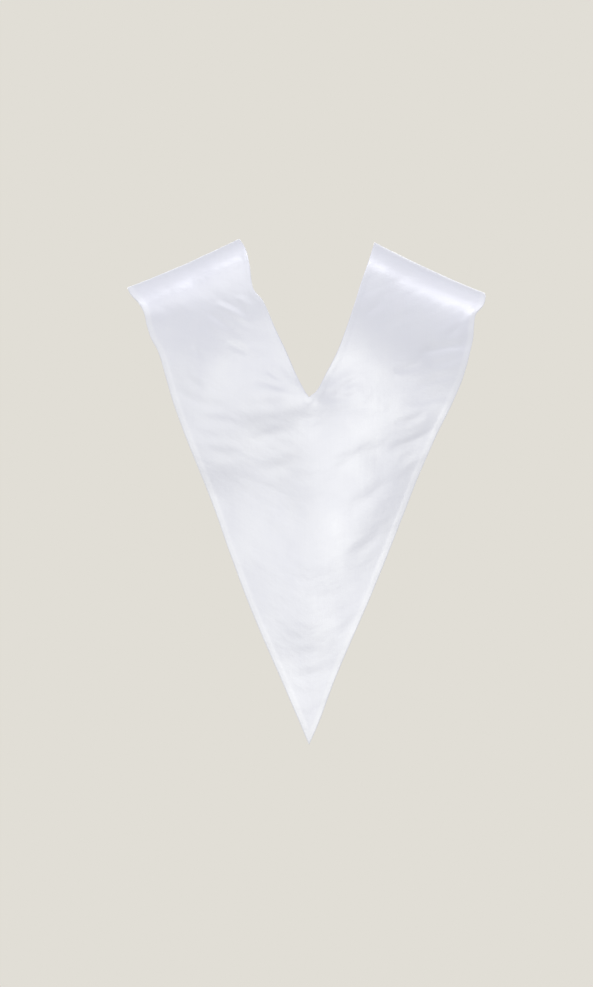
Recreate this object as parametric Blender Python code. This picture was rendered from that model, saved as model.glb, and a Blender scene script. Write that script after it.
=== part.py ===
"""A clerical stole of white satin, in the shape that it has when it is worn.

It is cut as two panels, a back and a front. Each is V-necked, broad over the shoulders and runs down to one
point, and the two are sewn together along both shoulders. Each panel is one closed wall of cloth: two layers
of satin with interfacing between them, sewn edge to edge and turned right side out.

Metres, +Z up, +X to the wearer's left, the front facing -Y. The origin lies midway between the two neck
points, on the line of the shoulder seams, where the wearer's shoulders hold the stole up.
"""

import math
from collections import namedtuple

import bmesh
import bpy

# The cloth's wall, the gap at a shoulder seam, and the distance from a seam over which the folds die away
WALL = 0.002
SEAM_GAP = 0.0003
SEAM_CALM = 0.030

# The line of the shoulders, seen from the front: two slopes that meet in a round over the neck
Shoulder = namedtuple("Shoulder", "top slope easing neck_point end_point")
LEFT_SHOULDER = Shoulder(top=0.0268, slope=0.576, easing=0.518, neck_point=0.0888, end_point=0.2330)
RIGHT_SHOULDER = Shoulder(top=0.0237, slope=0.624, easing=0.597, neck_point=-0.0843, end_point=-0.2251)
RIDGE_ROUNDING = 0.050

# A panel's grid: rows from a shoulder seam to the centre line, columns from the neckline to the outer edge. The
# larger the ease, the more rows lie near the seam at the outer edge
ROWS = 38
COLUMNS = 22
EDGE_EASE = 0.40

# The edges below the shoulder line: a height, and how far to the wearer's left and right the edges are there
Edge = namedtuple("Edge", "height left right")
BACK_NECKLINE = (
    Edge(-0.0215, 0.0782, -0.0790),
    Edge(-0.0393, 0.0741, -0.0732),
    Edge(-0.0707, 0.0695, -0.0627),
    Edge(-0.0862, 0.0575, -0.0580),
    Edge(-0.1206, 0.0424, -0.0465),
    Edge(-0.1495, 0.0287, -0.0355),
    Edge(-0.1783, 0.0162, -0.0208),
    Edge(-0.2000, 0.0050, -0.0090),
    Edge(-0.2070, 0.0000, 0.0000),
)
BACK_OUTER_EDGE = (
    Edge(-0.080, 0.2228, -0.2238),
    Edge(-0.092, 0.2112, -0.2190),
    Edge(-0.104, 0.2032, -0.2085),
    Edge(-0.120, 0.1993, -0.2052),
    Edge(-0.135, 0.1945, -0.2040),
    Edge(-0.150, 0.1865, -0.2000),
    Edge(-0.185, 0.1760, -0.1890),
    Edge(-0.210, 0.1685, -0.1784),
    Edge(-0.235, 0.1600, -0.1674),
    Edge(-0.260, 0.1510, -0.1562),
    Edge(-0.310, 0.1330, -0.1356),
    Edge(-0.360, 0.1145, -0.1160),
    Edge(-0.410, 0.0960, -0.0960),
    Edge(-0.460, 0.0770, -0.0750),
    Edge(-0.510, 0.0562, -0.0530),
    Edge(-0.560, 0.0342, -0.0318),
    Edge(-0.610, 0.0127, -0.0132),
    Edge(-0.640, 0.0000, 0.0000),
)
FRONT_NECKLINE = (
    Edge(-0.0215, 0.0810, -0.0790),
    Edge(-0.0393, 0.0775, -0.0750),
    Edge(-0.0707, 0.0690, -0.0665),
    Edge(-0.1206, 0.0470, -0.0475),
    Edge(-0.1783, 0.0178, -0.0185),
    Edge(-0.2100, 0.0000, 0.0000),
)
FRONT_OUTER_EDGE = (
    Edge(-0.080, 0.2205, -0.2190),
    Edge(-0.104, 0.2050, -0.2060),
    Edge(-0.150, 0.1855, -0.1900),
    Edge(-0.210, 0.1660, -0.1700),
    Edge(-0.310, 0.1290, -0.1310),
    Edge(-0.410, 0.0905, -0.0920),
    Edge(-0.510, 0.0500, -0.0505),
    Edge(-0.634, 0.0000, 0.0000),
)

# Soft troughs (negative depth) and swells. Each is a straight run as seen from the front
Fold = namedtuple("Fold", "from_x from_z to_x to_z width depth")
BACK_FOLDS = (
    Fold(0.012, -0.216, 0.052, -0.320, 0.026, -0.0036),
    Fold(-0.016, -0.320, 0.000, -0.460, 0.034, 0.0032),
    Fold(-0.158, -0.246, -0.088, -0.278, 0.018, -0.0028),
    Fold(-0.202, -0.141, -0.156, -0.149, 0.015, -0.0026),
    Fold(0.118, -0.096, 0.076, -0.110, 0.016, -0.0024),
    Fold(0.178, -0.150, 0.150, -0.175, 0.020, -0.0020),
    Fold(-0.100, -0.305, -0.060, -0.450, 0.026, -0.0022),
)
FRONT_FOLDS = (
    Fold(-0.010, -0.220, -0.050, -0.330, 0.028, -0.0036),
    Fold(0.030, -0.300, 0.004, -0.450, 0.034, 0.0030),
    Fold(0.150, -0.240, 0.082, -0.285, 0.020, -0.0027),
    Fold(-0.180, -0.150, -0.128, -0.170, 0.017, -0.0024),
    Fold(0.188, -0.130, 0.146, -0.146, 0.016, -0.0022),
    Fold(-0.104, -0.090, -0.070, -0.112, 0.016, -0.0022),
)

# A panel hangs at its depth behind or before the seams, which it reaches after its fall. Both shrink to nothing
# at their reach from the centre. The lean is how far the point swings back in
Panel = namedtuple(
    "Panel",
    "name side depth depth_reach depth_power fall fall_reach fall_power lean neckline outer_edge folds",
)
BACK = Panel(
    name="back_panel",
    side=1,
    depth=0.118,
    depth_reach=0.33,
    depth_power=2.5,
    fall=0.175,
    fall_reach=0.36,
    fall_power=2.2,
    lean=0.010,
    neckline=BACK_NECKLINE,
    outer_edge=BACK_OUTER_EDGE,
    folds=BACK_FOLDS,
)
FRONT = Panel(
    name="front_panel",
    side=-1,
    depth=0.130,
    depth_reach=0.32,
    depth_power=2.4,
    fall=0.190,
    fall_reach=0.36,
    fall_power=2.2,
    lean=0.014,
    neckline=FRONT_NECKLINE,
    outer_edge=FRONT_OUTER_EDGE,
    folds=FRONT_FOLDS,
)


def mix(start, end, share):
    return start + (end - start) * share


def ridge_height(x):
    """Height of the shoulder line at x: steepest beside the neck, and easing outwards."""
    towards_left = 0.5 + 0.5 * math.tanh(x / RIDGE_ROUNDING)
    out = math.hypot(x, RIDGE_ROUNDING) - RIDGE_ROUNDING
    heights = [side.top - side.slope * out + side.easing * out**2 for side in (RIGHT_SHOULDER, LEFT_SHOULDER)]
    return mix(*heights, towards_left)


def edge_place(edge, ridge_x, column, height):
    """The x of an edge at a height, on a smooth curve from the shoulder line through the edge's rows."""
    heights = [ridge_height(ridge_x)] + [row.height for row in edge]
    places = [ridge_x] + [getattr(row, column) for row in edge]
    last = len(heights) - 1
    step = next((n for n in range(last) if height >= heights[n + 1]), last - 1)

    def slope(n):
        before, after = max(n - 1, 0), min(n + 1, last)
        return (places[after] - places[before]) / (heights[after] - heights[before])

    span = heights[step + 1] - heights[step]
    share = min(max((height - heights[step]) / span, 0.0), 1.0)
    start_pull = share * (1 - share) ** 2 * span * slope(step)
    end_pull = share**2 * (share - 1) * span * slope(step + 1)
    smooth = share**2 * (3 - 2 * share)
    return mix(places[step], places[step + 1], smooth) + start_pull + end_pull


def hang(panel, x, height):
    """How far the cloth is from the plane of the seams: a quarter ellipse over the shoulder, then a hang."""
    depth = panel.depth * (1 - (abs(x) / panel.depth_reach) ** panel.depth_power)
    fall = panel.fall * (1 - (abs(x) / panel.fall_reach) ** panel.fall_power)
    drop = max(ridge_height(x) - height, 0.0)
    if drop < fall:
        return depth * math.sqrt(1 - (1 - drop / fall) ** 2)
    lowest = panel.outer_edge[-1].height
    below = (drop - fall) / (ridge_height(0) - lowest - fall)
    return depth - panel.lean * below**2


def panel_point(panel, along, across):
    """A point on the outside of a panel. along runs from -1, the right shoulder seam, by 0, the centre line, to
    1, the left seam. across runs from 0, the neckline, to 1, the outer edge."""
    column, shoulder = ("left", LEFT_SHOULDER) if along >= 0 else ("right", RIGHT_SHOULDER)
    share = 1 - abs(along)
    neck_top, outer_top = ridge_height(shoulder.neck_point), ridge_height(shoulder.end_point)
    neck_z = mix(neck_top, panel.neckline[-1].height, 1 - math.cos(share * math.pi / 2))
    eased = share**2 * (1 + EDGE_EASE) / (share + EDGE_EASE)
    outer_z = mix(outer_top, panel.outer_edge[-1].height, eased)
    inner = edge_place(panel.neckline, shoulder.neck_point, column, neck_z)
    outer = edge_place(panel.outer_edge, shoulder.end_point, column, outer_z)
    x = mix(inner, outer, across)
    on_seam = ridge_height(mix(shoulder.neck_point, shoulder.end_point, across))
    z = mix(neck_z, outer_z, across) + (on_seam - mix(neck_top, outer_top, across)) * (1 - share)
    return x, panel.side * (hang(panel, x, z) + SEAM_GAP / 2), z


def fold_height(panel, x, z):
    """How far the folds lift the cloth at a place seen from the front."""
    lift = 0.0
    for fold in panel.folds:
        run_x, run_z = fold.to_x - fold.from_x, fold.to_z - fold.from_z
        length = math.hypot(run_x, run_z)
        share = ((x - fold.from_x) * run_x + (z - fold.from_z) * run_z) / length**2
        aside = ((x - fold.from_x) * run_z - (z - fold.from_z) * run_x) / length
        beyond = max(-share, share - 1, 0.0) * length
        lift += fold.depth * math.exp(-(aside**2 + beyond**2) / fold.width**2)
    return lift


def satin():
    material = bpy.data.materials.new("white_satin")
    material.use_nodes = True
    shader = material.node_tree.nodes["Principled BSDF"]
    shader.inputs["Base Color"].default_value = (0.83, 0.84, 0.90, 1.0)
    shader.inputs["Roughness"].default_value = 0.38
    shader.inputs["Metallic"].default_value = 0.0
    return material


def make_panel(panel, material):
    """A panel starts as a flat strip. It is bent into a V at the centre line and hung over the shoulders, and
    the cloth's thickness is then grown inwards from it. Its ends are cut square on the shoulder seams."""
    cloth = bmesh.new()
    bmesh.ops.create_grid(cloth, x_segments=2 * ROWS, y_segments=COLUMNS, size=1.0)
    for vertex in cloth.verts:
        vertex.co = panel_point(panel, vertex.co.x, (vertex.co.y + 1) / 2)
    if panel.side > 0:
        bmesh.ops.reverse_faces(cloth, faces=cloth.faces)
    cloth.normal_update()
    outwards = [vertex.normal.copy() for vertex in cloth.verts]
    for vertex, outward in zip(cloth.verts, outwards):
        clear_of_seam = min(abs(vertex.co.y) / SEAM_CALM, 1.0)
        vertex.co += outward * fold_height(panel, vertex.co.x, vertex.co.z) * clear_of_seam
    bmesh.ops.solidify(cloth, geom=cloth.faces[:], thickness=WALL)
    for vertex in cloth.verts:
        if abs(vertex.co.y) < WALL:
            vertex.co.y = panel.side * SEAM_GAP / 2
    mesh = bpy.data.meshes.new(panel.name)
    cloth.to_mesh(mesh)
    cloth.free()
    mesh.materials.append(material)
    mesh.shade_smooth()
    bpy.context.scene.collection.objects.link(bpy.data.objects.new(panel.name, mesh))


for leftover in list(bpy.data.objects):
    bpy.data.objects.remove(leftover)

white_satin = satin()
for cut in (BACK, FRONT):
    make_panel(cut, white_satin)
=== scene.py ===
import math
from collections import namedtuple

import bmesh
import bpy
from mathutils import Matrix, Vector, noise


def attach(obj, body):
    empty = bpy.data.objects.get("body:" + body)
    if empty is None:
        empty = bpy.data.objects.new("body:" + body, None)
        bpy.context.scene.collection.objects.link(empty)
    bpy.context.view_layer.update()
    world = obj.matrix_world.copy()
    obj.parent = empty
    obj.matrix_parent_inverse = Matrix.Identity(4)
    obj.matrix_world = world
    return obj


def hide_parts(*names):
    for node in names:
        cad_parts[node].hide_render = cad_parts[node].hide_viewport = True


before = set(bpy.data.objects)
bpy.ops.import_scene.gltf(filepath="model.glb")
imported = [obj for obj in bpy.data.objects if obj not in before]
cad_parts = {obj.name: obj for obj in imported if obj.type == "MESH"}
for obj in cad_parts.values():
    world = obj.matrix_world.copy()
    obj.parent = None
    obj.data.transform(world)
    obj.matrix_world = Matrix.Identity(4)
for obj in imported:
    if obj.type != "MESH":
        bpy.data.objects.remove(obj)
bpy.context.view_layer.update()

# The camera stands straight in front of the back panel, level with the middle of the stole, as in the photo.
# One pixel of the 593 x 987 picture is 1.25 mm on the back panel, 3.5 m away.
PICTURE_HEIGHT = 987
PIXEL = 0.00125
BACK_TO_CAMERA = 3.5
SENSOR_WIDTH = 36
CAMERA_PLACE = (0.0156, 3.6, -0.327)
CAMERA_TURN = (math.radians(90), 0, math.radians(180))

camera = bpy.data.objects.new("camera", bpy.data.cameras.new("camera"))
camera.location = CAMERA_PLACE
camera.rotation_euler = CAMERA_TURN
camera.data.sensor_width = SENSOR_WIDTH
camera.data.lens = SENSOR_WIDTH * BACK_TO_CAMERA / (PICTURE_HEIGHT * PIXEL)
bpy.context.scene.collection.objects.link(camera)
bpy.context.scene.camera = camera


# White satin: a smooth face of long warp floats over a dull ground, cool white with a trace of lilac. The
# floats run down the centre line of the cut. A few thicker threads, faint pressing marks and fine crumples
# break the shine.
SATIN_WHITE = (0.770, 0.775, 0.832, 1)
SATIN_LILAC = (0.725, 0.729, 0.806, 1)
# Painted highlight: the band over the seam allowance along the outer edges is painted this lighter white,
# where the raised allowance catches the light.
PAINTED_EDGE_HIGHLIGHT = (0.802, 0.806, 0.856, 1)
MARK_LILAC = 0.60
SLUB_LILAC = 0.12
SATIN_ROUGHNESS = 0.29
SLUB_ROUGHNESS = 0.31
MARK_DULLING = 0.06
SATIN_IOR = 1.85
SATIN_SPECULAR = 0.9
SATIN_ANISOTROPY = 0.5
SATIN_SHEEN = 0.12
SHEEN_ROUGHNESS = 0.35
FLOAT_HEIGHT = 1.0
SLUB_HEIGHT = 1.2
CRUMPLE_HEIGHT = 9.0
BUMP_STRENGTH = 0.35
BUMP_DEPTH = 0.00003

Streaks = namedtuple("Streaks", "across_per_metre down_per_metre detail")
FLOATS = Streaks(8200, 760, detail=2)
SLUBS = Streaks(330, 16, detail=3)
MARKS = Streaks(17, 11, detail=3)
CRUMPLES = Streaks(52, 84, detail=3)
CRUMPLE_SLANT = 0.5
NOISE_LOW = 0.3
NOISE_HIGH = 0.7


def noise_of(tree, cloth_place, streaks):
    """Noise on the flat cut, stretched along the floats: so many streaks across and down in a metre."""
    stretch = tree.nodes.new("ShaderNodeMapping")
    stretch.inputs["Scale"].default_value = (streaks.across_per_metre, streaks.down_per_metre, 1)
    tree.links.new(cloth_place, stretch.inputs["Vector"])
    threads = tree.nodes.new("ShaderNodeTexNoise")
    threads.noise_dimensions = "2D"
    threads.inputs["Scale"].default_value = 1
    threads.inputs["Detail"].default_value = streaks.detail
    tree.links.new(stretch.outputs["Vector"], threads.inputs["Vector"])
    return threads.outputs["Fac"]


def spread(tree, share, low, high):
    """A number from low to high, as the share goes over the range that most of the noise lies in."""
    fit = tree.nodes.new("ShaderNodeMapRange")
    fit.inputs["From Min"].default_value = NOISE_LOW
    fit.inputs["From Max"].default_value = NOISE_HIGH
    fit.inputs["To Min"].default_value = low
    fit.inputs["To Max"].default_value = high
    tree.links.new(share, fit.inputs["Value"])
    return fit.outputs["Result"]


def summed(tree, first, second):
    add = tree.nodes.new("ShaderNodeMath")
    add.operation = "ADD"
    tree.links.new(first, add.inputs[0])
    tree.links.new(second, add.inputs[1])
    return add.outputs["Value"]


def tinted(tree, share, low, high):
    """From the low colour to the high one, of which each is a plain colour or another node's."""
    tint = tree.nodes.new("ShaderNodeMix")
    tint.data_type = "RGBA"
    tree.links.new(share, tint.inputs["Factor"])
    for socket, colour in ((tint.inputs["A"], low), (tint.inputs["B"], high)):
        if isinstance(colour, tuple):
            socket.default_value = colour
        else:
            tree.links.new(colour, socket)
    return tint.outputs["Result"]


def pulled_to_point(tree, cloth_place):
    """The place on the cut, slanted on both sides of the centre line, as the V pulls on the cloth."""
    parts = tree.nodes.new("ShaderNodeSeparateXYZ")
    tree.links.new(cloth_place, parts.inputs["Vector"])
    from_centre = tree.nodes.new("ShaderNodeMath")
    from_centre.operation = "ABSOLUTE"
    tree.links.new(parts.outputs["X"], from_centre.inputs[0])
    slant = tree.nodes.new("ShaderNodeMath")
    slant.operation = "MULTIPLY_ADD"
    slant.inputs[1].default_value = -CRUMPLE_SLANT
    tree.links.new(from_centre.outputs["Value"], slant.inputs[0])
    tree.links.new(parts.outputs["Y"], slant.inputs[2])
    place = tree.nodes.new("ShaderNodeCombineXYZ")
    tree.links.new(parts.outputs["X"], place.inputs["X"])
    tree.links.new(slant.outputs["Value"], place.inputs["Y"])
    return place.outputs["Vector"]


satin_weave = bpy.data.node_groups.new("satin weave", "ShaderNodeTree")
satin_weave.interface.new_socket("Cloth", in_out="INPUT", socket_type="NodeSocketVector")
satin_weave.interface.new_socket("Edge", in_out="INPUT", socket_type="NodeSocketFloat")
satin_weave.interface.new_socket("Colour", in_out="OUTPUT", socket_type="NodeSocketColor")
satin_weave.interface.new_socket("Roughness", in_out="OUTPUT", socket_type="NodeSocketFloat")
satin_weave.interface.new_socket("Height", in_out="OUTPUT", socket_type="NodeSocketFloat")
weave_in = satin_weave.nodes.new("NodeGroupInput")
weave_out = satin_weave.nodes.new("NodeGroupOutput")
on_cut = weave_in.outputs["Cloth"]
floats = noise_of(satin_weave, on_cut, FLOATS)
slubs = noise_of(satin_weave, on_cut, SLUBS)
marks = noise_of(satin_weave, on_cut, MARKS)
lilac_marks = spread(satin_weave, marks, 0, MARK_LILAC)
lilac_slubs = spread(satin_weave, slubs, 0, SLUB_LILAC)
lilac = summed(satin_weave, lilac_marks, lilac_slubs)
face_colour = tinted(satin_weave, lilac, SATIN_WHITE, SATIN_LILAC)
# The band along the outer edges is painted lighter: a painted highlight.
colour_with_painted_edge_highlight = tinted(satin_weave, weave_in.outputs["Edge"], face_colour, PAINTED_EDGE_HIGHLIGHT)
rough_slubs = spread(satin_weave, slubs, SATIN_ROUGHNESS, SLUB_ROUGHNESS)
dull_marks = spread(satin_weave, marks, 0, MARK_DULLING)
roughness = summed(satin_weave, rough_slubs, dull_marks)
crumples = noise_of(satin_weave, pulled_to_point(satin_weave, on_cut), CRUMPLES)
high_floats = spread(satin_weave, floats, 0, FLOAT_HEIGHT)
high_slubs = spread(satin_weave, slubs, 0, SLUB_HEIGHT)
threads = summed(satin_weave, high_floats, high_slubs)
high_crumples = spread(satin_weave, crumples, 0, CRUMPLE_HEIGHT)
relief = summed(satin_weave, threads, high_crumples)
satin_weave.links.new(colour_with_painted_edge_highlight, weave_out.inputs["Colour"])
satin_weave.links.new(roughness, weave_out.inputs["Roughness"])
satin_weave.links.new(relief, weave_out.inputs["Height"])


def satin(name):
    """Satin for a piece that carries its flat cut as a UV map, in metres, and its edges as an attribute: the
    band along the outer edges gets a painted highlight.
    """
    material = bpy.data.materials.new(name)
    material.use_nodes = True
    tree = material.node_tree
    shader = tree.nodes["Principled BSDF"]
    shader.inputs["Metallic"].default_value = 0
    shader.inputs["IOR"].default_value = SATIN_IOR
    shader.inputs["Specular IOR Level"].default_value = SATIN_SPECULAR
    shader.inputs["Anisotropic"].default_value = SATIN_ANISOTROPY
    shader.inputs["Sheen Weight"].default_value = SATIN_SHEEN
    shader.inputs["Sheen Roughness"].default_value = SHEEN_ROUGHNESS
    cut = tree.nodes.new("ShaderNodeUVMap")
    cut.uv_map = "cut"
    across_floats = tree.nodes.new("ShaderNodeTangent")
    across_floats.direction_type = "UV_MAP"
    across_floats.uv_map = "cut"
    # The edge attribute marks the outer-edge band that gets a painted highlight.
    edge = tree.nodes.new("ShaderNodeAttribute")
    edge.attribute_name = "edge"
    weave = tree.nodes.new("ShaderNodeGroup")
    weave.node_tree = satin_weave
    bump = tree.nodes.new("ShaderNodeBump")
    bump.inputs["Strength"].default_value = BUMP_STRENGTH
    bump.inputs["Distance"].default_value = BUMP_DEPTH
    tree.links.new(cut.outputs["UV"], weave.inputs["Cloth"])
    tree.links.new(edge.outputs["Fac"], weave.inputs["Edge"])
    tree.links.new(weave.outputs["Colour"], shader.inputs["Base Color"])
    tree.links.new(weave.outputs["Roughness"], shader.inputs["Roughness"])
    tree.links.new(weave.outputs["Height"], bump.inputs["Height"])
    tree.links.new(bump.outputs["Normal"], shader.inputs["Normal"])
    tree.links.new(across_floats.outputs["Tangent"], shader.inputs["Tangent"])
    return material


# The back panel: two layers of satin with a thin interfacing, sewn edge to edge and turned through, so that
# its edges are soft rolls over the seam allowance. It hangs from the shoulder seams, down the back, to one
# point.
Shoulder = namedtuple("Shoulder", "top slope easing neck_point end_point")
LEFT_SHOULDER = Shoulder(top=0.0268, slope=0.576, easing=0.518, neck_point=0.0888, end_point=0.2330)
RIGHT_SHOULDER = Shoulder(top=0.0237, slope=0.624, easing=0.597, neck_point=-0.0843, end_point=-0.2251)
RIDGE_ROUNDING = 0.050
EDGE_EASE = 0.40

CLOTH = 0.0013
ALLOWANCE_WIDTH = 0.0090
ALLOWANCE_RISE = 0.00022
ALLOWANCE_STEP = 0.0040
ROLL = 0.0011
THIN_AT_EDGE = 0.12
THIN_AT_SEAM = 0.5
SEAM_GAP = 0.00004
SEAM_REACH = 2 * SEAM_GAP
SEAM_CALM = 0.030

Wrinkles = namedtuple("Wrinkles", "height across_per_metre down_per_metre slant seed")
WRINKLES = (
    Wrinkles(0.00050, 19, 17, slant=0.0, seed=5),
    Wrinkles(0.00016, 17, 60, slant=0.42, seed=9),
    Wrinkles(0.00011, 33, 112, slant=0.42, seed=13),
)
SLANT_TURN = 0.02
EDGE_RIPPLE = 0.0009
RIPPLE_REACH = 0.022
RIPPLES_PER_METRE = 26
RIPPLE_SEED = 7
HALF_SEED = 3
CREASE_REACH = 4
LIP_PLACE = 1.7
UPPER_LIP = 0.45
LOWER_LIP = 0.25

ROWS = 190
SEAM_ROWS = (0.0, 0.0006, 0.0016, 0.0032, 0.0058)
NEXT_ROW = 0.004
MIDDLE_COLUMNS = 98
EDGE_COLUMNS = (0.0, 0.00012, 0.00035, 0.0007, 0.0012, 0.0020, 0.0032, 0.0045, 0.0058, 0.0072, 0.0086, 0.0105)
LEAST_SLANT = 0.3

Edge = namedtuple("Edge", "height left right")
Fold = namedtuple("Fold", "from_x from_z to_x to_z width depth")
Crease = namedtuple("Crease", "from_x from_z to_x to_z bow width depth")
Panel = namedtuple(
    "Panel",
    "side depth depth_reach depth_power fall fall_reach fall_power lean neckline outer_edge folds creases",
)


def mix(start, end, share):
    return start + (end - start) * share


def smooth_step(low, high, value):
    share = min(max((value - low) / (high - low), 0.0), 1.0)
    return share * share * (3 - 2 * share)


def rolled(distance):
    """The round of a turned edge: 0 at the edge, and 1 where the roll ends."""
    inside = min(max(distance / ROLL, 0.0), 1.0)
    return math.sqrt(1 - (1 - inside) ** 2)


def ridge_height(x):
    """Height of the shoulder line at x: steepest beside the neck, and easing outwards."""
    towards_left = 0.5 + 0.5 * math.tanh(x / RIDGE_ROUNDING)
    out = math.hypot(x, RIDGE_ROUNDING) - RIDGE_ROUNDING
    heights = [side.top - side.slope * out + side.easing * out**2 for side in (RIGHT_SHOULDER, LEFT_SHOULDER)]
    return mix(*heights, towards_left)


def edge_place(edge, ridge_x, column, height):
    """The x of an edge at a height, on a smooth curve from the shoulder line through the edge's rows."""
    heights = [ridge_height(ridge_x)] + [row.height for row in edge]
    places = [ridge_x] + [getattr(row, column) for row in edge]
    last = len(heights) - 1
    step = next((n for n in range(last) if height >= heights[n + 1]), last - 1)

    def slope(n):
        before = max(n - 1, 0)
        after = min(n + 1, last)
        return (places[after] - places[before]) / (heights[after] - heights[before])

    span = heights[step + 1] - heights[step]
    share = min(max((height - heights[step]) / span, 0.0), 1.0)
    start_pull = share * (1 - share) ** 2 * span * slope(step)
    end_pull = share**2 * (share - 1) * span * slope(step + 1)
    return mix(places[step], places[step + 1], share**2 * (3 - 2 * share)) + start_pull + end_pull


def depth_and_fall(panel, x):
    depth = panel.depth * (1 - (abs(x) / panel.depth_reach) ** panel.depth_power)
    fall = panel.fall * (1 - (abs(x) / panel.fall_reach) ** panel.fall_power)
    return depth, fall


def hang(panel, x, height):
    """How far the cloth is from the plane of the seams: a quarter ellipse over the shoulder, then a hang."""
    depth, fall = depth_and_fall(panel, x)
    drop = max(ridge_height(x) - height, 0.0)
    if drop < fall:
        return depth * math.sqrt(1 - (1 - drop / fall) ** 2)
    below = (drop - fall) / (ridge_height(0) - panel.outer_edge[-1].height - fall)
    return depth - panel.lean * below**2


def row_ends(panel, along):
    """The heights and places of a row's two ends. along runs from -1, the right seam, to 1, the left seam."""
    column, shoulder = ("left", LEFT_SHOULDER) if along >= 0 else ("right", RIGHT_SHOULDER)
    share = 1 - abs(along)
    neck_share = 1 - math.cos(share * math.pi / 2)
    neck_z = mix(ridge_height(shoulder.neck_point), panel.neckline[-1].height, neck_share)
    outer_share = share**2 * (1 + EDGE_EASE) / (share + EDGE_EASE)
    outer_z = mix(ridge_height(shoulder.end_point), panel.outer_edge[-1].height, outer_share)
    neck_x = edge_place(panel.neckline, shoulder.neck_point, column, neck_z)
    outer_x = edge_place(panel.outer_edge, shoulder.end_point, column, outer_z)
    return shoulder, share, neck_x, neck_z, outer_x, outer_z


def cloth_point(panel, ends, across):
    """A point of a row on the outside of the panel, across from 0, the neckline, to 1, the outer edge."""
    shoulder, share, neck_x, neck_z, outer_x, outer_z = ends
    x = mix(neck_x, outer_x, across)
    on_seam = ridge_height(mix(shoulder.neck_point, shoulder.end_point, across))
    straight = mix(ridge_height(shoulder.neck_point), ridge_height(shoulder.end_point), across)
    z = mix(neck_z, outer_z, across) + (on_seam - straight) * (1 - share**2)
    return Vector((x, panel.side * (hang(panel, x, z) + SEAM_GAP / 2), z))


def cut_place(panel, x, z):
    """Where a point of the cloth lay on the flat cut: straight down from the seam along the cloth."""
    depth, fall = depth_and_fall(panel, x)
    drop = max(ridge_height(x) - z, 0.0)
    turn = math.acos(max(1 - drop / fall, 0.0))
    middle = turn / 2
    chord = math.hypot(depth * math.cos(middle), fall * math.sin(middle)) * turn
    return x, ridge_height(x) - chord - max(drop - fall, 0.0)


def beside(line, x, z):
    """The length of a fold or crease, the share of it passed at x, z, and how far to one side x, z is."""
    run_x = line.to_x - line.from_x
    run_z = line.to_z - line.from_z
    length = math.hypot(run_x, run_z)
    share = ((x - line.from_x) * run_x + (z - line.from_z) * run_z) / length**2
    aside = ((x - line.from_x) * run_z - (z - line.from_z) * run_x) / length
    return length, share, aside


def fold_lift(panel, x, z):
    """The broad, soft swells, with a depth above 0, and troughs, with one below 0."""
    lift = 0.0
    for fold in panel.folds:
        length, share, aside = beside(fold, x, z)
        beyond = max(-share, share - 1, 0.0) * length
        lift += fold.depth * math.exp(-(aside**2 + beyond**2) / fold.width**2)
    return lift


def crease_lift(panel, x, z):
    """The narrow creases: each is a bowed trough between two low lips, and dies out at both ends. One with a
    depth below 0 is a small ridge."""
    lift = 0.0
    for crease in panel.creases:
        share, aside = beside(crease, x, z)[1:]
        if not 0 < share < 1:
            continue
        fade = 4 * share * (1 - share)
        aside = (aside - crease.bow * fade) / crease.width
        if abs(aside) > CREASE_REACH:
            continue
        upper = UPPER_LIP * math.exp(-((aside - LIP_PLACE) ** 2))
        lower = LOWER_LIP * math.exp(-((aside + LIP_PLACE) ** 2))
        lift += crease.depth * fade * (upper + lower - math.exp(-(aside**2)))
    return lift


def wrinkle_lift(panel, x, z, from_edge):
    """The fine unevenness of the whole cloth, slanted down to the V, and a light ripple along its edges."""
    ripple_place = (z * RIPPLES_PER_METRE, math.copysign(HALF_SEED, x), panel.side * RIPPLE_SEED)
    lift = EDGE_RIPPLE * math.exp(-from_edge / RIPPLE_REACH) * noise.noise(Vector(ripple_place))
    for wrinkles in WRINKLES:
        down = z - wrinkles.slant * math.hypot(x, SLANT_TURN)
        place = (x * wrinkles.across_per_metre, panel.side * wrinkles.seed, down * wrinkles.down_per_metre)
        lift += wrinkles.height * noise.noise(Vector(place))
    return lift


def columns_of(panel, along, ends):
    """The places of a row's columns, and the true distance of each from the neckline and the outer edge."""
    neck = cloth_point(panel, ends, 0)
    outer = cloth_point(panel, ends, 1)
    towards_centre = row_ends(panel, along - math.copysign(NEXT_ROW, along))
    row = outer - neck
    neck_run = cloth_point(panel, towards_centre, 0) - neck
    outer_run = cloth_point(panel, towards_centre, 1) - outer
    neck_slant = max(math.sin(row.angle(neck_run)), LEAST_SLANT)
    outer_slant = max(math.sin(row.angle(outer_run)), LEAST_SLANT)
    width = row.length
    at_neck = [step / (width * neck_slant) for step in EDGE_COLUMNS]
    at_outer = [1 - step / (width * outer_slant) for step in EDGE_COLUMNS]
    between = [mix(at_neck[-1], at_outer[-1], n / MIDDLE_COLUMNS) for n in range(1, MIDDLE_COLUMNS)]
    places = at_neck + between + at_outer[::-1]
    return [(across, across * width * neck_slant, (1 - across) * width * outer_slant) for across in places]


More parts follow.
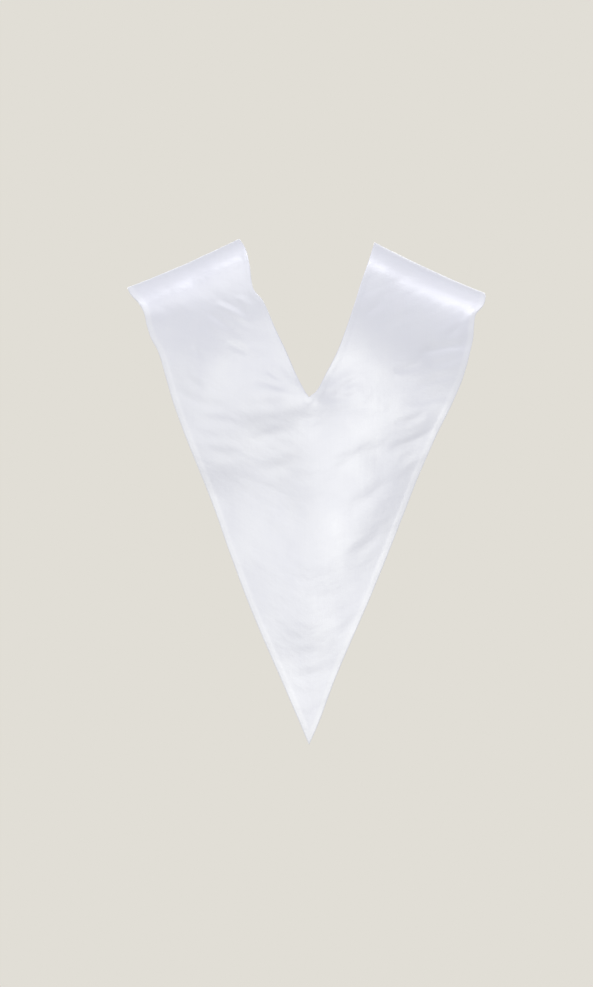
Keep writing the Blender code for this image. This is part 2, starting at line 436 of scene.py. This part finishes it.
def hang_strip(cloth, panel):
    """A flat strip is bent into a V at the centre line and hung over the shoulders. Each of its points keeps
    its distance from the edges and its place on the flat cut."""
    row_shares = SEAM_ROWS + tuple(mix(SEAM_ROWS[-1], 1, n / ROWS) for n in range(1, ROWS + 1))
    half = len(row_shares) - 1
    column_count = MIDDLE_COLUMNS + 2 * len(EDGE_COLUMNS) - 2
    bmesh.ops.create_grid(cloth, x_segments=2 * half, y_segments=column_count, size=1.0)
    from_edge = cloth.verts.layers.float.new("from_edge")
    from_side = cloth.verts.layers.float.new("from_side")
    cut_x = cloth.verts.layers.float.new("cut_x")
    cut_z = cloth.verts.layers.float.new("cut_z")
    rows = {}
    for vertex in cloth.verts:
        row = round(vertex.co.x * half)
        column = round((vertex.co.y + 1) / 2 * column_count)
        if row not in rows:
            along = math.copysign(1 - row_shares[half - abs(row)], row if row else 1)
            ends = row_ends(panel, along)
            rows[row] = ends, columns_of(panel, along, ends)
        ends, columns = rows[row]
        across, from_neck, from_outer = columns[column]
        vertex.co = cloth_point(panel, ends, across)
        vertex[from_edge] = min(from_neck, from_outer)
        vertex[from_side] = from_outer
        vertex[cut_x], vertex[cut_z] = cut_place(panel, vertex.co.x, vertex.co.z)
    if panel.side < 0:
        bmesh.ops.reverse_faces(cloth, faces=cloth.faces)


def press_creases(cloth, panel):
    """The folds, creases and wrinkles are pressed in, and die out towards the seams."""
    from_edge = cloth.verts.layers.float["from_edge"]
    cloth.normal_update()
    ways_out = [vertex.normal.copy() for vertex in cloth.verts]
    for vertex, way_out in zip(cloth.verts, ways_out):
        x, y, z = vertex.co
        lift = fold_lift(panel, x, z) + crease_lift(panel, x, z)
        lift += wrinkle_lift(panel, x, z, vertex[from_edge])
        vertex.co += way_out * lift * smooth_step(0, SEAM_CALM, abs(y))


def thicken(cloth, panel):
    """The cloth gets an inside. It is a little thicker over the seam allowance and rolls to nothing at its
    edges, and its two ends lie flat beside the plane of the seams."""
    from_edge = cloth.verts.layers.float["from_edge"]
    from_side = cloth.verts.layers.float["from_side"]
    edge = cloth.verts.layers.float.new("edge")
    number = cloth.verts.layers.int.new("number")
    cloth.normal_update()
    ways_out = [vertex.normal.copy() for vertex in cloth.verts]
    outside = len(ways_out)
    for vertex, way_out in zip(cloth.verts, ways_out):
        vertex[number] = vertex.index
        if abs(vertex.co.y) < SEAM_REACH:
            way_out.y = 0
            way_out.normalize()
    bmesh.ops.solidify(cloth, geom=cloth.faces[:], thickness=CLOTH)
    cloth.verts.ensure_lookup_table()
    for inner in cloth.verts[outside:]:
        outer = cloth.verts[inner[number]]
        way_out = ways_out[inner[number]]
        from_seam = abs(outer.co.y) - SEAM_GAP / 2
        step_start = ALLOWANCE_WIDTH - ALLOWANCE_STEP
        in_band = 1 - smooth_step(step_start, ALLOWANCE_WIDTH, min(outer[from_edge], from_seam))
        thickness = CLOTH / 2 + ALLOWANCE_RISE * in_band
        thickness *= mix(THIN_AT_EDGE, 1, rolled(outer[from_edge])) * mix(THIN_AT_SEAM, 1, rolled(from_seam))
        middle = outer.co - way_out * CLOTH / 2
        outer.co = middle + way_out * thickness
        inner.co = middle - way_out * thickness
        # The band over the seam allowance along the outer edges is marked here for a painted highlight, a
        # lighter satin colour.
        outer[edge] = inner[edge] = 1 - smooth_step(step_start, ALLOWANCE_WIDTH, outer[from_side])
    for vertex in cloth.verts:
        if panel.side * vertex.co.y < SEAM_REACH:
            vertex.co.y = panel.side * SEAM_GAP / 2


def make_cloth(name, panel, material):
    """A whole panel, which keeps its flat cut as a UV map."""
    cloth = bmesh.new()
    hang_strip(cloth, panel)
    press_creases(cloth, panel)
    thicken(cloth, panel)
    cut_x = cloth.verts.layers.float["cut_x"]
    cut_z = cloth.verts.layers.float["cut_z"]
    cut = cloth.loops.layers.uv.new("cut")
    for face in cloth.faces:
        for corner in face.loops:
            corner[cut].uv = corner.vert[cut_x], corner.vert[cut_z]
    mesh = bpy.data.meshes.new(name)
    cloth.to_mesh(mesh)
    cloth.free()
    mesh.materials.append(material)
    mesh.shade_smooth()
    piece = bpy.data.objects.new(name, mesh)
    bpy.context.scene.collection.objects.link(piece)
    return piece


BACK_NECKLINE = (
    Edge(-0.0215, 0.0782, -0.0790),
    Edge(-0.0393, 0.0741, -0.0732),
    Edge(-0.0707, 0.0695, -0.0627),
    Edge(-0.0862, 0.0575, -0.0580),
    Edge(-0.1206, 0.0424, -0.0465),
    Edge(-0.1495, 0.0287, -0.0355),
    Edge(-0.1783, 0.0162, -0.0208),
    Edge(-0.2000, 0.0050, -0.0090),
    Edge(-0.2070, 0.0000, 0.0000),
)
BACK_OUTER_EDGE = (
    Edge(-0.080, 0.2228, -0.2238),
    Edge(-0.092, 0.2112, -0.2190),
    Edge(-0.104, 0.2032, -0.2085),
    Edge(-0.120, 0.1993, -0.2052),
    Edge(-0.135, 0.1945, -0.2040),
    Edge(-0.150, 0.1865, -0.2000),
    Edge(-0.185, 0.1760, -0.1890),
    Edge(-0.210, 0.1685, -0.1784),
    Edge(-0.235, 0.1600, -0.1674),
    Edge(-0.260, 0.1510, -0.1562),
    Edge(-0.310, 0.1330, -0.1356),
    Edge(-0.360, 0.1145, -0.1160),
    Edge(-0.410, 0.0960, -0.0960),
    Edge(-0.460, 0.0770, -0.0750),
    Edge(-0.510, 0.0562, -0.0530),
    Edge(-0.560, 0.0342, -0.0318),
    Edge(-0.610, 0.0127, -0.0132),
    Edge(-0.640, 0.0000, 0.0000),
)
BACK_FOLDS = (
    Fold(0.000, -0.224, 0.006, -0.318, 0.034, 0.0034),
    Fold(-0.014, -0.378, 0.002, -0.480, 0.043, 0.0018),
    Fold(-0.158, -0.246, -0.088, -0.278, 0.018, -0.0014),
    Fold(-0.202, -0.141, -0.156, -0.149, 0.015, -0.0022),
    Fold(0.168, -0.080, 0.214, -0.104, 0.036, 0.0068),
    Fold(0.082, -0.023, 0.120, -0.042, 0.032, 0.0050),
    Fold(-0.072, -0.030, -0.094, -0.042, 0.024, 0.0024),
    Fold(0.120, -0.186, 0.036, -0.198, 0.042, 0.0040),
    Fold(0.100, -0.338, 0.042, -0.332, 0.052, -0.0062),
    Fold(-0.002, -0.206, 0.060, -0.214, 0.021, 0.0020),
    Fold(0.088, -0.223, 0.140, -0.233, 0.026, 0.0014),
    Fold(0.232, -0.130, 0.192, -0.260, 0.060, 0.0092),
    Fold(-0.232, -0.135, -0.205, -0.225, 0.059, 0.0102),
    Fold(-0.135, -0.310, -0.092, -0.420, 0.036, -0.0026),
    Fold(0.127, -0.335, 0.098, -0.420, 0.040, -0.0014),
    Fold(-0.004, -0.640, 0.004, -0.636, 0.078, 0.0048),
)
BACK_CREASES = (
    Crease(0.118, -0.089, 0.072, -0.117, 0.002, 0.0040, -0.0010),
    Crease(0.127, -0.099, 0.092, -0.123, -0.001, 0.0042, 0.0007),
    Crease(0.133, -0.115, 0.109, -0.145, 0.001, 0.0044, 0.0004),
    Crease(0.146, -0.140, 0.130, -0.163, -0.001, 0.0044, 0.0004),
    Crease(0.104, -0.140, 0.074, -0.155, 0.002, 0.0045, 0.0006),
    Crease(0.090, -0.080, 0.072, -0.098, 0.001, 0.0042, -0.0006),
    Crease(0.054, -0.170, 0.022, -0.194, -0.002, 0.0042, 0.0007),
    Crease(0.049, -0.189, 0.012, -0.202, -0.001, 0.0044, 0.0005),
    Crease(0.071, -0.184, 0.031, -0.199, 0.002, 0.0045, 0.0006),
    Crease(-0.004, -0.207, -0.068, -0.211, 0.001, 0.0062, 0.0009),
    Crease(-0.020, -0.192, -0.054, -0.168, 0.004, 0.0070, 0.0005),
    Crease(-0.031, -0.202, -0.069, -0.183, 0.002, 0.0045, 0.0006),
    Crease(-0.026, -0.222, -0.081, -0.217, -0.002, 0.0062, 0.0006),
    Crease(-0.201, -0.142, -0.136, -0.152, -0.003, 0.0044, 0.0012),
    Crease(-0.190, -0.157, -0.146, -0.167, 0.002, 0.0042, 0.0006),
    Crease(-0.141, -0.164, -0.105, -0.174, 0.002, 0.0050, 0.0008),
    Crease(-0.183, -0.179, -0.134, -0.193, -0.002, 0.0045, 0.0007),
    Crease(-0.175, -0.200, -0.119, -0.214, 0.003, 0.0050, 0.0006),
    Crease(-0.209, -0.093, -0.184, -0.123, 0.002, 0.0046, -0.0007),
    Crease(-0.198, -0.112, -0.170, -0.133, -0.001, 0.0042, 0.0006),
    Crease(-0.095, -0.082, -0.065, -0.106, 0.002, 0.0050, 0.0005),
    Crease(-0.157, -0.246, -0.101, -0.271, 0.004, 0.0054, 0.0008),
    Crease(-0.151, -0.266, -0.111, -0.289, -0.002, 0.0056, 0.0004),
    Crease(-0.145, -0.229, -0.106, -0.240, 0.002, 0.0045, 0.0006),
    Crease(0.161, -0.203, 0.099, -0.220, -0.003, 0.0054, 0.0005),
    Crease(0.156, -0.182, 0.129, -0.197, 0.001, 0.0046, 0.0004),
    Crease(0.149, -0.235, 0.089, -0.241, 0.003, 0.0066, 0.0003),
    Crease(0.131, -0.271, 0.084, -0.281, -0.002, 0.0066, 0.0004),
    Crease(0.091, -0.215, 0.009, -0.210, -0.003, 0.0080, 0.0006),
    Crease(0.074, -0.261, 0.014, -0.249, 0.002, 0.0070, 0.0005),
    Crease(0.061, -0.296, 0.009, -0.286, -0.002, 0.0080, 0.0005),
    Crease(-0.029, -0.299, -0.091, -0.269, 0.003, 0.0080, 0.0006),
    Crease(-0.044, -0.349, -0.101, -0.308, -0.003, 0.0080, 0.0006),
    Crease(-0.051, -0.413, -0.096, -0.370, 0.002, 0.0080, 0.0004),
    Crease(0.064, -0.355, 0.021, -0.393, -0.002, 0.0080, 0.0005),
    Crease(-0.034, -0.511, -0.070, -0.476, 0.002, 0.0064, 0.0003),
    Crease(0.030, -0.519, -0.010, -0.509, -0.002, 0.0064, -0.0002),
    Crease(0.024, -0.561, -0.021, -0.549, 0.001, 0.0060, 0.0003),
)
BACK = Panel(
    side=1,
    depth=0.118,
    depth_reach=0.33,
    depth_power=2.5,
    fall=0.175,
    fall_reach=0.36,
    fall_power=2.2,
    lean=0.010,
    neckline=BACK_NECKLINE,
    outer_edge=BACK_OUTER_EDGE,
    folds=BACK_FOLDS,
    creases=BACK_CREASES,
)

back = make_cloth("back_satin", BACK, satin("back satin"))
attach(back, "root")
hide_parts("back_panel")


# The front panel: the same cut and make as the back one, sewn to it along both shoulders. It hangs a little
# further out, and its tip is a little higher.
FRONT_NECKLINE = (
    Edge(-0.0215, 0.0810, -0.0790),
    Edge(-0.0393, 0.0775, -0.0750),
    Edge(-0.0707, 0.0690, -0.0665),
    Edge(-0.1206, 0.0470, -0.0475),
    Edge(-0.1783, 0.0178, -0.0185),
    Edge(-0.2100, 0.0000, 0.0000),
)
FRONT_OUTER_EDGE = (
    Edge(-0.080, 0.2205, -0.2190),
    Edge(-0.104, 0.2050, -0.2060),
    Edge(-0.150, 0.1855, -0.1900),
    Edge(-0.210, 0.1660, -0.1700),
    Edge(-0.310, 0.1290, -0.1310),
    Edge(-0.410, 0.0905, -0.0920),
    Edge(-0.510, 0.0500, -0.0505),
    Edge(-0.634, 0.0000, 0.0000),
)
FRONT_FOLDS = (
    Fold(0.004, -0.228, -0.004, -0.322, 0.034, 0.0032),
    Fold(0.014, -0.380, -0.004, -0.484, 0.043, 0.0018),
    Fold(0.152, -0.246, 0.086, -0.282, 0.018, -0.0014),
    Fold(-0.190, -0.146, -0.146, -0.158, 0.016, -0.0020),
    Fold(-0.160, -0.080, -0.208, -0.104, 0.036, 0.0052),
    Fold(-0.080, -0.026, -0.116, -0.044, 0.032, 0.0040),
    Fold(-0.118, -0.192, -0.034, -0.204, 0.042, 0.0038),
    Fold(-0.098, -0.345, -0.040, -0.338, 0.052, -0.0058),
    Fold(0.002, -0.210, -0.060, -0.219, 0.021, 0.0019),
    Fold(-0.086, -0.228, -0.138, -0.238, 0.026, 0.0013),
    Fold(-0.230, -0.125, -0.190, -0.260, 0.062, 0.0094),
    Fold(0.228, -0.125, 0.202, -0.225, 0.062, 0.0100),
    Fold(0.130, -0.310, 0.090, -0.420, 0.036, -0.0024),
    Fold(-0.124, -0.332, -0.094, -0.415, 0.040, -0.0014),
    Fold(0.004, -0.634, -0.004, -0.630, 0.078, 0.0048),
)
FRONT_CREASES = (
    Crease(-0.114, -0.087, -0.070, -0.113, -0.002, 0.0040, -0.0010),
    Crease(-0.126, -0.102, -0.094, -0.124, 0.001, 0.0042, 0.0007),
    Crease(-0.140, -0.122, -0.114, -0.148, -0.001, 0.0042, 0.0006),
    Crease(-0.108, -0.138, -0.076, -0.154, -0.002, 0.0045, 0.0006),
    Crease(-0.056, -0.173, -0.021, -0.197, 0.002, 0.0042, 0.0007),
    Crease(-0.052, -0.191, -0.014, -0.206, 0.001, 0.0040, 0.0005),
    Crease(0.006, -0.212, 0.066, -0.217, -0.001, 0.0062, 0.0009),
    Crease(0.024, -0.198, 0.055, -0.170, -0.003, 0.0070, 0.0006),
    Crease(0.030, -0.227, 0.084, -0.221, 0.002, 0.0062, 0.0006),
    Crease(0.196, -0.136, 0.138, -0.150, 0.003, 0.0044, 0.0012),
    Crease(0.186, -0.154, 0.147, -0.166, -0.002, 0.0044, 0.0006),
    Crease(0.176, -0.176, 0.132, -0.192, 0.002, 0.0047, 0.0007),
    Crease(0.206, -0.094, 0.182, -0.121, -0.002, 0.0046, -0.0007),
    Crease(0.152, -0.243, 0.098, -0.270, -0.004, 0.0052, 0.0009),
    Crease(0.144, -0.262, 0.106, -0.286, 0.002, 0.0050, 0.0007),
    Crease(-0.160, -0.206, -0.101, -0.223, 0.003, 0.0050, 0.0007),
    Crease(-0.148, -0.240, -0.092, -0.247, -0.003, 0.0060, 0.0007),
    Crease(-0.190, -0.150, -0.150, -0.162, 0.002, 0.0044, 0.0007),
    Crease(-0.088, -0.220, -0.010, -0.216, 0.003, 0.0080, 0.0005),
    Crease(-0.066, -0.300, -0.012, -0.288, 0.002, 0.0080, 0.0005),
    Crease(0.030, -0.305, 0.088, -0.276, -0.003, 0.0080, 0.0008),
    Crease(0.046, -0.356, 0.098, -0.318, 0.003, 0.0080, 0.0006),
    Crease(0.050, -0.420, 0.090, -0.382, -0.002, 0.0080, 0.0007),
    Crease(-0.060, -0.362, -0.020, -0.398, 0.002, 0.0080, 0.0005),
    Crease(0.036, -0.505, 0.066, -0.470, -0.002, 0.0060, 0.0006),
    Crease(-0.034, -0.508, 0.012, -0.498, 0.002, 0.0060, 0.0003),
    Crease(-0.026, -0.560, 0.018, -0.550, -0.001, 0.0060, 0.0003),
)
FRONT = Panel(
    side=-1,
    depth=0.130,
    depth_reach=0.32,
    depth_power=2.4,
    fall=0.190,
    fall_reach=0.36,
    fall_power=2.2,
    lean=0.014,
    neckline=FRONT_NECKLINE,
    outer_edge=FRONT_OUTER_EDGE,
    folds=FRONT_FOLDS,
    creases=FRONT_CREASES,
)

front = make_cloth("front_satin", FRONT, satin("front satin"))
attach(front, "root")
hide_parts("front_panel")


# The thread of the two shoulder seams: a fine white sewing thread in ladder stitches. Each stitch is a short
# bar that crosses the ditch between the two rolled edges and runs on inside the cloth.
STITCH_SPACING = 0.0034
STITCH_LENGTH = 0.0022
STITCH_SLANT = 0.16
STITCH_UNEVEN = 0.2
UNEVEN_PER_STITCH = 0.83
SIDE_SEED = 4
SEAM_END_INSET = 0.0065
THREAD_WIDTH = 0.00034
THREAD_SINK = 0.00006
THREAD_SIDES = 8
THREAD_RINGS = 6
BALL_RADIUS = 0.5
THREAD_WHITE = (0.80, 0.80, 0.86, 1)
# Painted shade: the grooves between the plies, low in the bump, are painted this darker colour.
PAINTED_PLY_GROOVE_SHADE = (0.66, 0.67, 0.75, 1)
THREAD_ROUGHNESS = 0.46
THREAD_SHEEN = 0.2
PLIES_SCALE = 260
PLIES_UNEVEN = 1.5
PLY_DEPTH = 0.00004

thread_paint = bpy.data.materials.new("seam thread")
thread_paint.use_nodes = True
thread_nodes = thread_paint.node_tree
thread_shader = thread_nodes.nodes["Principled BSDF"]
thread_shader.inputs["Roughness"].default_value = THREAD_ROUGHNESS
thread_shader.inputs["Sheen Weight"].default_value = THREAD_SHEEN
thread_place = thread_nodes.nodes.new("ShaderNodeTexCoord")
plies = thread_nodes.nodes.new("ShaderNodeTexWave")
plies.bands_direction = "DIAGONAL"
plies.inputs["Scale"].default_value = PLIES_SCALE
plies.inputs["Distortion"].default_value = PLIES_UNEVEN
thread_nodes.links.new(thread_place.outputs["Object"], plies.inputs["Vector"])
# The thread is painted darker in the grooves between its plies, where the bump is low: painted shade.
thread_colour = tinted(thread_nodes, plies.outputs["Fac"], PAINTED_PLY_GROOVE_SHADE, THREAD_WHITE)
thread_nodes.links.new(thread_colour, thread_shader.inputs["Base Color"])
thread_bump = thread_nodes.nodes.new("ShaderNodeBump")
thread_bump.inputs["Distance"].default_value = PLY_DEPTH
thread_nodes.links.new(plies.outputs["Fac"], thread_bump.inputs["Height"])
thread_nodes.links.new(thread_bump.outputs["Normal"], thread_shader.inputs["Normal"])

thread = bmesh.new()
for shoulder in (LEFT_SHOULDER, RIGHT_SHOULDER):
    side = math.copysign(1, shoulder.end_point)
    first = shoulder.neck_point + side * SEAM_END_INSET
    last = shoulder.end_point - side * SEAM_END_INSET
    stitch_count = round(abs(last - first) / STITCH_SPACING)
    for stitch in range(stitch_count + 1):
        uneven = noise.noise(Vector((stitch * UNEVEN_PER_STITCH, side * SIDE_SEED, 0)))
        x = mix(first, last, (stitch + STITCH_UNEVEN * uneven) / stitch_count)
        climb = ridge_height(x + STITCH_SPACING) - ridge_height(x - STITCH_SPACING)
        rise = climb / (2 * STITCH_SPACING)
        turned = Matrix.Rotation(STITCH_SLANT * (1 + uneven), 3, "Z")
        turned = Matrix.Rotation(-math.atan(rise), 3, "Y") @ turned
        ball = bmesh.ops.create_uvsphere(
            thread, u_segments=THREAD_SIDES, v_segments=THREAD_RINGS, radius=BALL_RADIUS
        )
        bar = ball["verts"]
        bmesh.ops.scale(thread, verts=bar, vec=(THREAD_WIDTH, STITCH_LENGTH, THREAD_WIDTH))
        bmesh.ops.rotate(thread, verts=bar, matrix=turned, cent=(0, 0, 0))
        bmesh.ops.translate(thread, verts=bar, vec=(x, 0, ridge_height(x) - THREAD_SINK))
thread_mesh = bpy.data.meshes.new("shoulder_thread")
thread.to_mesh(thread_mesh)
thread.free()
thread_mesh.materials.append(thread_paint)
thread_mesh.shade_smooth()
shoulder_thread = bpy.data.objects.new("shoulder_thread", thread_mesh)
bpy.context.scene.collection.objects.link(shoulder_thread)
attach(shoulder_thread, "root")


# The studio: a plain pale floor well below the stole, which fades out before its rim, and soft light. A long
# narrow lamp and a broad ceiling hang overhead, and a small lamp washes over from one side. A broad fill and a
# smaller key face the back, and the same two face the front.
FLOOR_HEIGHT = -1.50
FLOOR_RADIUS = 7.0
FLOOR_SEGMENTS = 96
FLOOR_ROUGHNESS = 0.9
FADE_START = 0.9
FADE_END = 2.9
FLOOR_COLOUR = (0.83, 0.81, 0.745, 1)
BACKDROP_COLOUR = (0.753, 0.730, 0.672, 1)
ROOM_LIGHT = (0.570, 0.576, 0.600, 1)

floor_mesh = bpy.data.meshes.new("floor")
disc = bmesh.new()
bmesh.ops.create_circle(disc, cap_ends=True, segments=FLOOR_SEGMENTS, radius=FLOOR_RADIUS)
bmesh.ops.translate(disc, verts=disc.verts, vec=(0, 0, FLOOR_HEIGHT))
disc.to_mesh(floor_mesh)
disc.free()
floor = bpy.data.objects.new("floor", floor_mesh)
bpy.context.scene.collection.objects.link(floor)
floor_paint = bpy.data.materials.new("pale floor")
floor_paint.use_nodes = True
paint = floor_paint.node_tree
paint_shader = paint.nodes["Principled BSDF"]
paint_shader.inputs["Base Color"].default_value = FLOOR_COLOUR
paint_shader.inputs["Roughness"].default_value = FLOOR_ROUGHNESS
floor_place = paint.nodes.new("ShaderNodeTexCoord")
from_middle = paint.nodes.new("ShaderNodeVectorMath")
from_middle.operation = "LENGTH"
floor_fade = paint.nodes.new("ShaderNodeMapRange")
floor_fade.interpolation_type = "SMOOTHSTEP"
floor_fade.inputs["From Min"].default_value = FADE_START
floor_fade.inputs["From Max"].default_value = FADE_END
floor_fade.inputs["To Min"].default_value = 1
floor_fade.inputs["To Max"].default_value = 0
paint.links.new(floor_place.outputs["Object"], from_middle.inputs[0])
paint.links.new(from_middle.outputs["Value"], floor_fade.inputs["Value"])
paint.links.new(floor_fade.outputs["Result"], paint_shader.inputs["Alpha"])
floor_mesh.materials.append(floor_paint)

Lamp = namedtuple("Lamp", "name place aim_x width height power colour")
LAMPS = (
    Lamp("overhead", (-0.35, 0.10, 2.6), -0.35, 3.4, 0.7, 20, (0.94, 0.94, 1.0)),
    Lamp("ceiling", (0.0, 0.0, 3.4), 0.0, 4.4, 4.4, 22, (0.94, 0.94, 1.0)),
    Lamp("side wash", (1.35, 1.40, 2.4), 0.0, 1.2, 1.0, 4.2, (1.0, 1.0, 1.0)),
    Lamp("back fill", (0.6, 4.4, 0.1), 0.0, 4.0, 3.2, 49, (1.0, 1.0, 0.94)),
    Lamp("back key", (-0.80, 4.3, -0.4), 0.0, 1.4, 1.4, 12, (1.0, 1.0, 0.94)),
    Lamp("front fill", (-0.6, -4.4, 0.1), 0.0, 4.0, 3.2, 49, (1.0, 1.0, 0.94)),
    Lamp("front key", (0.80, -4.3, -0.4), 0.0, 1.4, 1.4, 12, (1.0, 1.0, 0.94)),
)
STOLE_MIDDLE = -0.25
for lamp in LAMPS:
    light = bpy.data.lights.new(lamp.name, "AREA")
    light.shape = "RECTANGLE"
    light.size = lamp.width
    light.size_y = lamp.height
    light.energy = lamp.power
    light.color = lamp.colour
    stand = bpy.data.objects.new(lamp.name, light)
    stand.location = lamp.place
    aim = Vector((lamp.aim_x, 0, STOLE_MIDDLE)) - Vector(lamp.place)
    stand.rotation_euler = aim.to_track_quat("-Z", "Y").to_euler()
    stand.visible_camera = False
    bpy.context.scene.collection.objects.link(stand)

air = bpy.data.worlds.new("air")
air.use_nodes = True
sky = air.node_tree
backdrop = sky.nodes.new("ShaderNodeMix")
backdrop.data_type = "RGBA"
backdrop.inputs["A"].default_value = ROOM_LIGHT
backdrop.inputs["B"].default_value = BACKDROP_COLOUR
sight = sky.nodes.new("ShaderNodeLightPath")
sky.links.new(sight.outputs["Is Camera Ray"], backdrop.inputs["Factor"])
sky.links.new(backdrop.outputs["Result"], sky.nodes["Background"].inputs["Color"])
bpy.context.scene.world = air
bpy.context.scene.view_settings.view_transform = "Standard"
